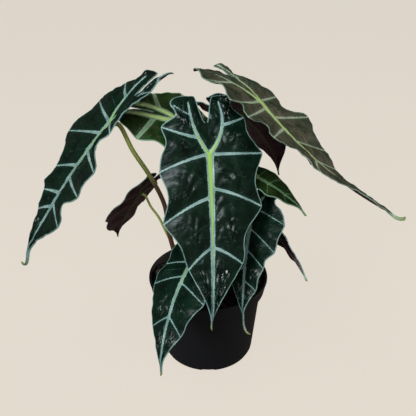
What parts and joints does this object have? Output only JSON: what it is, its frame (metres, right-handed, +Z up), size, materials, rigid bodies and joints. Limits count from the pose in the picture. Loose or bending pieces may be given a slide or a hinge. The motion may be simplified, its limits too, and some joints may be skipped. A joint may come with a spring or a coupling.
{
  "type": "potted alocasia",
  "caption": "Potted alocasia: wavy arrow-shaped leaves with raised pale veins on arching stalks, in potting mix in a round tapered nursery pot.",
  "frame": {"origin": "centre of the pot's flat underside, on the surface that the pot stands on", "axes": "+Z up the pot; -Y towards the viewer, where the largest hanging blade is; +X to the viewer's right, towards the long thin-tipped blade"},
  "size_m": [0.3301, 0.1922, 0.2958],
  "materials": {
    "pot": "black moulded polypropylene, satin, lightly scuffed",
    "soil": null,
    "crown": null,
    "stalk": null,
    "leaf_upper": null,
    "leaf_grey": "upper face in grazing light, olive grey with pale green veins, satin",
    "leaf_under": "dark burgundy-brown underside with olive veins, satin"
  },
  "bodies": {
    "root": {"pot": "pot", "soil": "soil", "crown": "crown", "blade_front": "leaf_upper", "stalk_front": "stalk", "blade_upper_left": "leaf_upper", "stalk_upper_left": "stalk", "blade_upper_right": "leaf_grey", "stalk_upper_right": "stalk", "blade_back_left": "leaf_upper", "stalk_back_left": "stalk", "blade_back_right": "leaf_under", "stalk_back_right": "stalk", "blade_small_right": "leaf_upper", "stalk_small_right": "stalk", "blade_lower_right": "leaf_upper", "stalk_lower_right": "stalk", "blade_lower_left": "leaf_upper", "stalk_lower_left": "stalk", "blade_small_left": "leaf_under", "stalk_small_left": "stalk", "blade_thin_right": "leaf_under", "stalk_thin_right": "stalk"}
  },
  "joints": []
}
